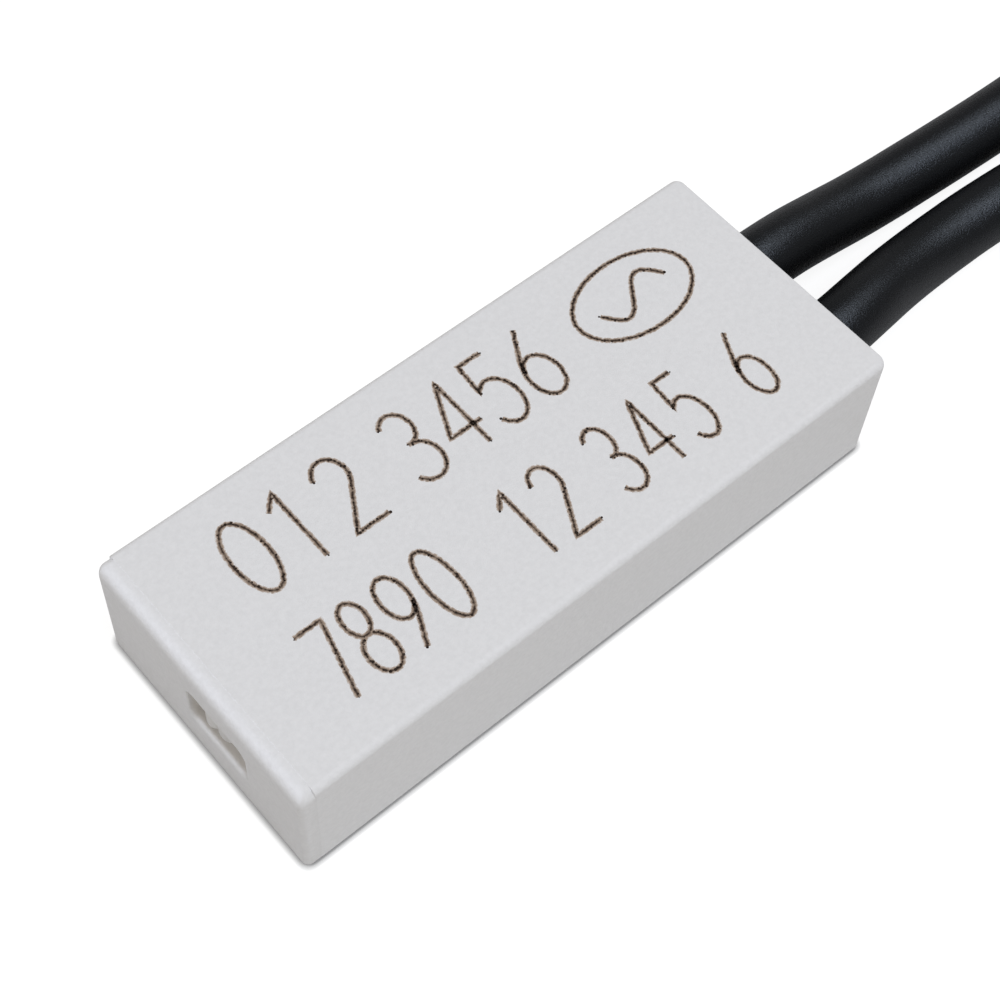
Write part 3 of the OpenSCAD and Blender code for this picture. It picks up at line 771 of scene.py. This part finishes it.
links.new(bead_scale.outputs[0], set_beads.inputs["Scale"])
plain = nodes.new("GeometryNodeRealizeInstances")
links.new(set_beads.outputs[0], plain.inputs[0])
burnt_in = nodes.new("GeometryNodeSetMaterial")
links.new(plain.outputs[0], burnt_in.inputs["Geometry"])
links.new(group_in.outputs["Material"], burnt_in.inputs["Material"])
links.new(burnt_in.outputs[0], group_out.inputs[0])

stroke_mesh = bpy.data.meshes.new("laser_marks")
stroke_points, stroke_edges = [], []
for points in strokes:
    first = len(stroke_points)
    stroke_edges += [(first + k, first + k + 1) for k in range(len(points) - 1)]
    stroke_points += [(x * MM, y * MM, case_top * MM) for x, y in points]
stroke_mesh.from_pydata(stroke_points, stroke_edges, [])
laser_marks = bpy.data.objects.new("laser_marks", stroke_mesh)
bpy.context.scene.collection.objects.link(laser_marks)
beads = laser_marks.modifiers.new("beads", "NODES")
beads.node_group = bead_tree
for socket, value in (
    ("Pitch", 0.09 * MM), ("Bead Radius", 0.035 * MM), ("Bead Height", 0.004 * MM),
    ("Scatter", 0.03 * MM), ("Seed", 7), ("Material", laser_brown),
):
    beads[bead_inputs[socket]] = value
settle(laser_marks)
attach(laser_marks, "housing")

# The scorched band under the beads: a flat strip along each stroke, see-through at its edges.
# Each stroke's strip lies a hair higher than the last one, so that two never coincide.
band_half, band_spacing, least_bend = 0.085, 0.12, 0.75
first_lift, next_lift, lifts = 0.001, 0.0007, 4
band_verts, band_faces = [], []
for number, points in enumerate(strokes):
    line = [np.array(points[0])]
    for p in np.array(points[1:]):
        steps = max(1, round(np.linalg.norm(p - line[-1]) / band_spacing))
        line += [line[-1] + (p - line[-1]) * k / steps for k in range(1, steps + 1)]
    closed = np.linalg.norm(line[0] - line[-1]) < 1e-6
    for i, p in enumerate(line):
        if i + 1 < len(line):
            ahead = line[i + 1] - p
        else:
            ahead = line[1] - line[0] if closed else p - line[-2]
        if i:
            behind = p - line[i - 1]
        else:
            behind = line[-1] - line[-2] if closed else line[1] - p
        one, two = ahead / np.linalg.norm(ahead), behind / np.linalg.norm(behind)
        along = one + two
        along /= max(np.linalg.norm(along), 1e-9)
        across = np.array([-along[1], along[0]]) * band_half / max(least_bend, float(np.dot(along, one)))
        height = case_top + first_lift + next_lift * (number % lifts)
        band_verts += [(*(p + across), height), (*(p - across), height)]
        if i:
            n = len(band_verts)
            band_faces.append((n - 4, n - 3, n - 1, n - 2))
scorch, tree, shader = new_material("scorch")
scorched_band = mesh_object("scorched_band", band_verts, band_faces, scorch)
uv_map = scorched_band.data.uv_layers.new(name="across")
for loop in scorched_band.data.loops:
    uv_map.data[loop.index].uv = (loop.vertex_index // 2, loop.vertex_index % 2)
across_uv = tree.nodes.new("ShaderNodeUVMap")
across_uv.uv_map = "across"
parts = tree.nodes.new("ShaderNodeSeparateXYZ")
tree.links.new(across_uv.outputs[0], parts.inputs[0])
from_middle = math_node(tree.nodes, "SUBTRACT")
from_middle.inputs[1].default_value = 0.5
tree.links.new(parts.outputs["Y"], from_middle.inputs[0])
distance = math_node(tree.nodes, "ABSOLUTE")
tree.links.new(from_middle.outputs[0], distance.inputs[0])
ragged = tree.nodes.new("ShaderNodeTexNoise")
ragged.inputs["Scale"].default_value = 11000
spot_of = tree.nodes.new("ShaderNodeTexCoord")
tree.links.new(spot_of.outputs["Object"], ragged.inputs["Vector"])
ragged_edge = math_node(tree.nodes, "MULTIPLY_ADD")
ragged_edge.inputs[1].default_value = 0.6
tree.links.new(ragged.outputs["Fac"], ragged_edge.inputs[0])
tree.links.new(distance.outputs[0], ragged_edge.inputs[2])
fade = tree.nodes.new("ShaderNodeMapRange")
fade.interpolation_type = "SMOOTHSTEP"
fade.inputs["From Min"].default_value = 0.88
fade.inputs["From Max"].default_value = 0.45
tree.links.new(ragged_edge.outputs[0], fade.inputs["Value"])
tree.links.new(fade.outputs["Result"], shader.inputs["Alpha"])
scorch_ramp = colour_ramp(tree.nodes, (0.34, (0.05, 0.032, 0.023)), (0.72, (0.62, 0.48, 0.37)))
tree.links.new(ragged_edge.outputs[0], scorch_ramp.inputs["Fac"])
tree.links.new(scorch_ramp.outputs["Color"], shader.inputs["Base Color"])
shader.inputs["Roughness"].default_value = 0.8
shader.inputs["Specular IOR Level"].default_value = 0.1
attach(scorched_band, "housing")

# The carrier: a second moulding that slides into the case and holds the contacts and the disc.
# Its rounded nose shows inside the slot, with a lower lobe beside it. Like the other inner
# pieces it keeps the CAD form, with its edges eased.
carrier_plastic = grained(
    "carrier_plastic", (0.73, 0.725, 0.71), (0.77, 0.765, 0.75), 0.5, 0.012, cloud_scale=300,
)


def eased(name, node, material, body="housing", *, ease):
    """A piece with a CAD node's form, its doubled points merged and its edges eased."""
    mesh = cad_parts[node].data.copy()
    mesh.name = name
    form = bmesh.new()
    form.from_mesh(mesh)
    bmesh.ops.remove_doubles(form, verts=form.verts, dist=1e-7)
    bmesh.ops.dissolve_limit(form, angle_limit=math.radians(0.5), verts=form.verts, edges=form.edges)
    form.to_mesh(mesh)
    form.free()
    mesh.materials.clear()
    mesh.materials.append(material)
    piece = bpy.data.objects.new(name, mesh)
    bpy.context.scene.collection.objects.link(piece)
    crisp_above(piece)
    if ease:
        bevel = piece.modifiers.new("eased_edges", "BEVEL")
        bevel.width, bevel.segments = ease * MM, 2
        bevel.limit_method, bevel.angle_limit = "ANGLE", math.radians(crisp_degrees)
    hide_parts(node)
    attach(piece, body)
    return piece


eased("carrier_moulding", "carrier", carrier_plastic, ease=0.05)
lobe_front, lobe_root, lobe_left, lobe_right = -9.09, -8.3, -1.0, -0.3
front_corner, root_corner = 0.32, 0.02
lobe = []
for z, inset in ((1.62, 0.08), (1.64, 0.04), (1.7, 0), (2.5, 0), (2.54, 0.04)):
    ring = rounded_ring(
        lobe_front + inset, lobe_root, lobe_left + inset, lobe_right - inset,
        front_corner - inset, root_corner,
    )
    lobe.append([(x, y, z) for x, y in ring])
nose_lobe = crisp_above(loft("nose_lobe", lobe, carrier_plastic))
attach(nose_lobe, "housing")

# The plug: soft grey rubber, pushed in behind the carrier so that the resin stays out.
plug_rubber = grained("plug_rubber", (0.16, 0.16, 0.165), (0.2, 0.2, 0.205), 0.7, 0.02, cloud_scale=600)
eased("rubber_plug", "inner_plug", plug_rubber, ease=0.05)

# The two terminals: stamped brass strip, each with a barrel that is closed round its conductor.
terminal_brass = bare_metal("terminal_brass", (0.66, 0.47, 0.2), (0.42, 0.27, 0.11), 0.34)
eased("contact_terminal", "fixed_terminal", terminal_brass, ease=0.02)
eased("arm_root_terminal", "arm_terminal", terminal_brass, ease=0.02)

# The contacts: silver alloy, the lower one welded to its terminal and the upper one headed
# over through the arm. Both are turned to a slight crown.
contact_silver = bare_metal(
    "contact_silver", (0.82, 0.81, 0.78), (0.5, 0.48, 0.43), 0.22, stretch=(1, 1, 1),
)


def turned(name, profile, x, y, material, segments=64):
    """A closed turned piece from its profile of (radius, height), set upright at x, y."""
    angles = [math.tau * k / segments for k in range(segments)]
    rings = [[(x + r * math.cos(a), y + r * math.sin(a), z) for a in angles] for r, z in profile]
    return crisp_above(loft(name, rings, material))


def softened(r, z, radius, upward):
    """Three points that round a turned edge at radius r and height z."""
    away = -1 if upward else 1
    corner = []
    for a in (0, math.pi / 4, math.pi / 2):
        corner.append((r - radius * (1 - math.sin(a)), z + away * radius * (1 - math.cos(a))))
    return list(reversed(corner)) if upward else corner


contact_x, arm_level, arm_top = -5.4, 2.12, 2.28
near_axis, contact_radius, crown_radius, shank_radius, head_radius = 0.02, 0.85, 0.5, 0.4, 0.55
terminal_top, contact_edge, head_edge = 1.4, 0.07, 0.06
head_top = arm_top + 0.12
lower_contact = turned(
    "lower_contact",
    [(near_axis, terminal_top), (contact_radius, terminal_top)]
    + softened(contact_radius, 1.745, contact_edge, True) + [(crown_radius, 1.755), (near_axis, 1.76)],
    contact_x, 0, contact_silver,
)
upper_contact = turned(
    "upper_contact",
    [(near_axis, 1.78), (crown_radius, 1.785)] + softened(contact_radius, 1.795, contact_edge, False)
    + [(contact_radius, arm_level), (shank_radius, arm_level)]
    + [(shank_radius, arm_top), (head_radius, arm_top)]
    + softened(head_radius, head_top, head_edge, True) + [(near_axis, head_top)],
    contact_x, 0, contact_silver,
)
for piece, node, body in (
    (lower_contact, "fixed_contact", "housing"), (upper_contact, "moving_contact", "arm"),
):
    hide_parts(node)
    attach(piece, body)

# The arm: a leaf of rolled bronze spring strip with a dimple that rides on the disc, riveted
# under a small steel plate to its terminal.
spring_bronze = bare_metal(
    "spring_bronze", (0.62, 0.38, 0.22), (0.42, 0.23, 0.12), 0.3, stretch=(0.03, 1, 1),
)
eased("spring_arm", "contact_arm", spring_bronze, "arm", ease=0.02)
clamp_steel = bare_metal(
    "clamp_steel", (0.5, 0.5, 0.49), (0.33, 0.32, 0.3), 0.38, stretch=(1, 0.05, 1),
)
eased("steel_clamp", "arm_clamp_plate", clamp_steel, "arm", ease=0.025)
rivet_x, rivet_y, rivet_low, rivet_high = 3.0, 0.9, 1.74, 2.42
rivet_head, rivet_shank = 0.62, 0.35
foot_level = rivet_low - 0.18
edge_level, dome_level, dome_top = rivet_high + 0.13, rivet_high + 0.165, rivet_high + 0.18
headed_rivet = turned(
    "headed_rivet",
    [(near_axis, foot_level)] + softened(rivet_head, foot_level, 0.07, False)
    + [(rivet_head, rivet_low), (rivet_shank, rivet_low)]
    + [(rivet_shank, rivet_high), (rivet_head, rivet_high)]
    + softened(rivet_head, edge_level, 0.1, True) + [(rivet_shank, dome_level), (near_axis, dome_top)],
    rivet_x, rivet_y, terminal_brass,
)
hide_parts("arm_rivet")
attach(headed_rivet, "arm")

# The disc: rolled bimetal, punched round and dished so that it snaps through when it is hot.
# Its rim rests in the carrier's seat and nothing fixes it.
disc_x, disc_radius, disc_inner, disc_outer, disc_centre_z = -1.2, 2.45, 15.10625, 15.25625, 16.8537
bimetal = bare_metal("bimetal", (0.5, 0.49, 0.47), (0.36, 0.33, 0.3), 0.32, scale=3000)
reaches = [near_axis, 0.4, 0.8, 1.2, 1.6, 2.0, 2.3, 2.42]
under = [(r, disc_centre_z - math.sqrt(disc_outer**2 - r * r)) for r in reaches]
over = [(r, disc_centre_z - math.sqrt(disc_inner**2 - r * r)) for r in reversed(reaches)]
rim_rise, rim_drop = 0.04, 0.03
rim = [(disc_radius, under[-1][1] + rim_rise), (disc_radius, over[0][1] - rim_drop)]
snap_disc = turned("snap_disc", under + rim + over, disc_x, 0, bimetal, segments=96)
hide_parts("bimetal_disc")
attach(snap_disc, "housing")

# The sheet: thin yellowish film, cut with round corners, that keeps the disc off the terminal.
sheet_film = grained("sheet_film", (0.62, 0.5, 0.2), (0.7, 0.58, 0.27), 0.3, 0.006, cloud_scale=500)
film_start, film_end, film_half_width, film_corner = -4.25, 0.7, 1.05, 0.3
outline = rounded_ring(film_start, film_end, -film_half_width, film_half_width, film_corner, film_corner)
film = loft("film_sheet", [[(x, y, z) for x, y in outline] for z in (1.4, 1.42, 1.44, 1.46)], sheet_film)
crisp_above(film)
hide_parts("insulating_sheet")
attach(film, "housing")

# The potting: dark resin poured in at the lead end round the crimps and the leads. Before it
# set it crept up the case's walls and the leads, and sank a little between them.
resin = grained(
    "resin", (0.028, 0.027, 0.027), (0.045, 0.043, 0.042), 0.22, 0.01, speckle_scale=3000, cloud_scale=900,
)
poured = eased("poured_resin", "potting", resin, ease=0)
front_x, longest_edge, most_cuts = (potting_face_x - 1e-4) * MM, 0.16 * MM, 7
wall_creep, wall_reach, lead_creep, lead_reach, sunk = 0.1, 0.22, 0.09, 0.2, 0.04


def front_faces(form):
    """The faces of the resin's open front."""
    return [face for face in form.faces if all(vert.co.x > front_x for vert in face.verts)]


form = bmesh.new()
form.from_mesh(poured.data)
bmesh.ops.triangulate(form, faces=front_faces(form))
for _ in range(most_cuts):
    front = set(front_faces(form))
    long_edges = [
        edge for edge in form.edges
        if edge.calc_length() > longest_edge and not front.isdisjoint(edge.link_faces)
    ]
    if not long_edges:
        break
    bmesh.ops.subdivide_edges(form, edges=long_edges, cuts=1)
    bmesh.ops.triangulate(form, faces=[face for face in front_faces(form) if len(face.verts) > 3])
for vert in [v for v in form.verts if v.co.x > front_x]:
    y, z = vert.co.y / MM, vert.co.z / MM
    from_wall = min(cavity_half_width - abs(y), z - cavity_low, cavity_high - z)
    from_lead = min(
        math.hypot(y - route[0][1], z - exit_height) - lead_radius for route in lead_routes.values()
    )
    vert.co.x += MM * (
        wall_creep * math.exp(-max(0, from_wall) / wall_reach)
        + lead_creep * math.exp(-max(0, from_lead) / lead_reach) - sunk
    )
form.to_mesh(poured.data)
form.free()
crisp_above(poured, degrees=50)
